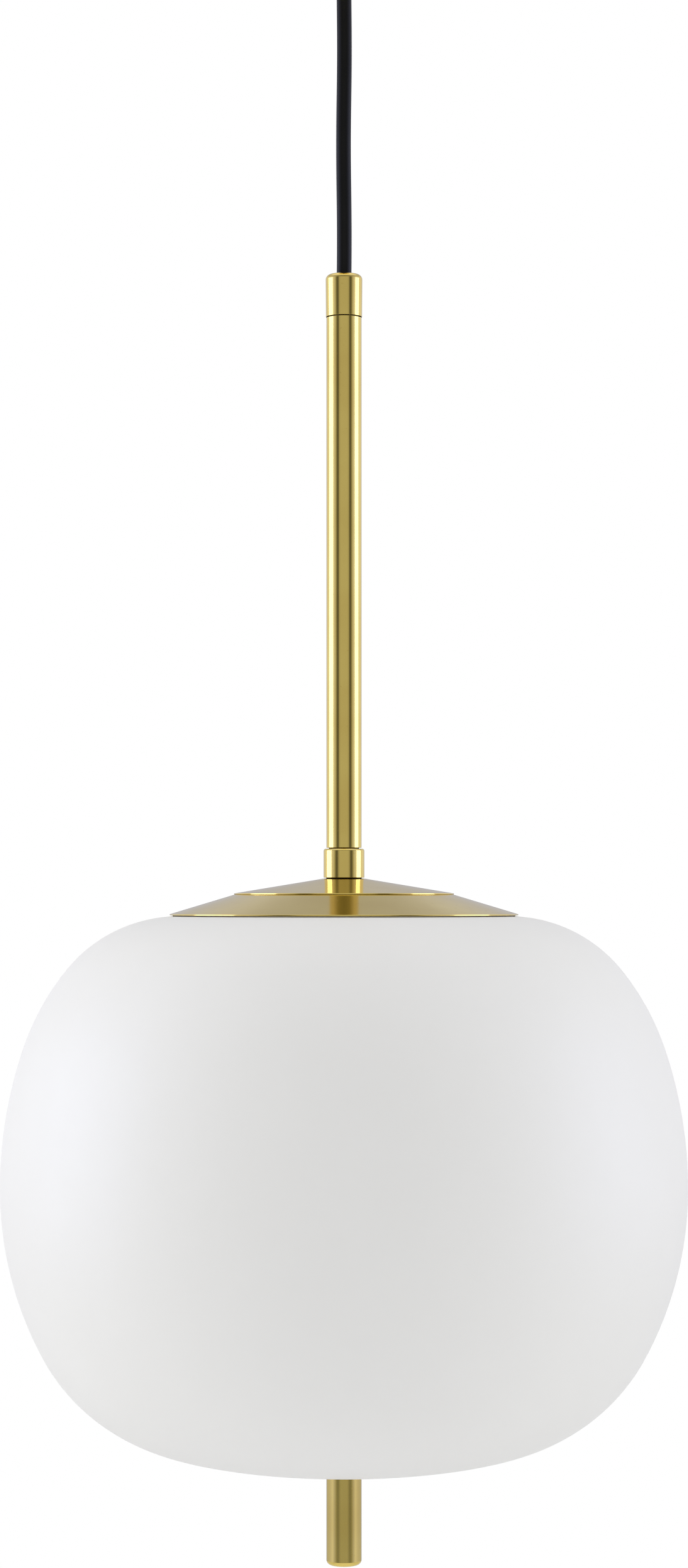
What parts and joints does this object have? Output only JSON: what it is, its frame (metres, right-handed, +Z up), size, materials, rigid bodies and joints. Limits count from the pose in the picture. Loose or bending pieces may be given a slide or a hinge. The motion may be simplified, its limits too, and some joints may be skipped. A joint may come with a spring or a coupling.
{
  "type": "pendant ceiling light",
  "caption": "Pendant ceiling light: an opal glass shade under stepped brass cover discs, on a slim brass stem and a black cord, with a screwed finial pin below.",
  "frame": {"origin": "middle of the ceiling bracket's top face, on the lamp's axis, in the plane of the ceiling", "axes": "+Z up along the lamp's axis, so the lamp hangs towards -Z; X runs along the ceiling bracket through its two screw slots and through the yoke's two rods"},
  "size_m": [0.3, 0.3, 0.7469],
  "materials": {
    "galvanised_steel": "galvanised",
    "plated_steel": "bright zinc plated",
    "black_steel": "blackened",
    "raw_brass": "turned, unpolished",
    "polished_brass": "polished and lacquered",
    "white_plastic": "moulded, matte",
    "black_cord": "smooth, soft sheen",
    "brown_core": "smooth",
    "blue_core": "smooth",
    "green_yellow_core": "smooth, two colours",
    "opal_glass": "opal, satin matte",
    "clear_silicone": "translucent, matte",
    "porcelain": "glazed white",
    "frosted_glass": "frosted inside",
    "nickel_cap": "nickel plated",
    "black_glass": "gloss black",
    "solder": "dull tin"
  },
  "bodies": {
    "ceiling": {"ceiling_bracket": "galvanised_steel", "bracket_earth_screw": "raw_brass"},
    "canopy": {"canopy_cup": "polished_brass", "canopy_screws": "polished_brass", "cord_grip": "polished_brass", "grip_screw": "black_steel", "grip_washer": "plated_steel", "grip_nut": "plated_steel", "terminal_strap": "galvanised_steel", "terminal_block": "white_plastic", "terminal_inserts": "raw_brass", "terminal_screws": "plated_steel", "block_screw": "plated_steel", "strap_earth_screw": "raw_brass", "earth_lug": "plated_steel", "cord_tail": "black_cord", "canopy_live_wire": "brown_core", "canopy_neutral_wire": "blue_core", "canopy_earth_wire": "green_yellow_core"},
    "cord": {"cord": "black_cord"},
    "lamp": {"stem_cap": "polished_brass", "cap_grub_screw": "black_steel", "cord_stub": "black_cord", "top_nipple": "plated_steel", "stem_top_insert": "raw_brass", "stem_tube": "polished_brass", "stem_bottom_insert": "raw_brass", "collar": "polished_brass", "lower_nipple": "plated_steel", "upper_disc": "polished_brass", "disc_spacer": "plated_steel", "lower_disc": "polished_brass", "yoke_top_bar": "galvanised_steel", "lock_washer": "plated_steel", "lock_nut": "plated_steel", "yoke_rod_left": "galvanised_steel", "yoke_rod_right": "galvanised_steel", "yoke_nuts": "plated_steel", "yoke_bottom_bar": "galvanised_steel", "finial_stud": "plated_steel", "stud_nuts": "plated_steel", "holder_cap": "polished_brass", "holder_insert": "porcelain", "holder_shell": "polished_brass", "holder_thread": "raw_brass", "holder_contact": "raw_brass", "holder_terminals": "raw_brass", "lamp_live_wire": "brown_core", "lamp_neutral_wire": "blue_core", "lamp_earth_wire": "green_yellow_core"},
    "shade": {"glass_shade": "opal_glass", "rim_gasket": "clear_silicone", "foot_seal": "clear_silicone"},
    "finial": {"finial_pin": "polished_brass"},
    "bulb": {"bulb_envelope": "frosted_glass", "bulb_cap": "nickel_cap", "bulb_insulator": "black_glass", "bulb_contact": "solder"}
  },
  "joints": [
    {"name": "canopy_drop", "type": "slide", "parent": "ceiling", "child": "canopy", "axis": [0, 0, -1], "range_m": [0, 0.06]},
    {"name": "cord_swing", "type": "hinge", "parent": "canopy", "child": "cord", "pos_m": [0, 0, -0.0498], "axis": [0, 1, 0], "range_deg": [-25, 25]},
    {"name": "lamp_tilt", "type": "hinge", "parent": "cord", "child": "lamp", "pos_m": [0, 0, -0.184], "axis": [1, 0, 0], "range_deg": [-20, 20]},
    {"name": "shade_lower", "type": "slide", "parent": "lamp", "child": "shade", "axis": [0, 0, -1], "range_m": [0, 0.28]},
    {"name": "finial_turn", "type": "hinge", "parent": "shade", "child": "finial", "pos_m": [0, 0, -0.73], "axis": [0, 0, 1], "continuous": true},
    {"name": "bulb_out", "type": "slide", "parent": "lamp", "child": "bulb", "axis": [0, 0, -1], "range_m": [0, 0.028]}
  ]
}
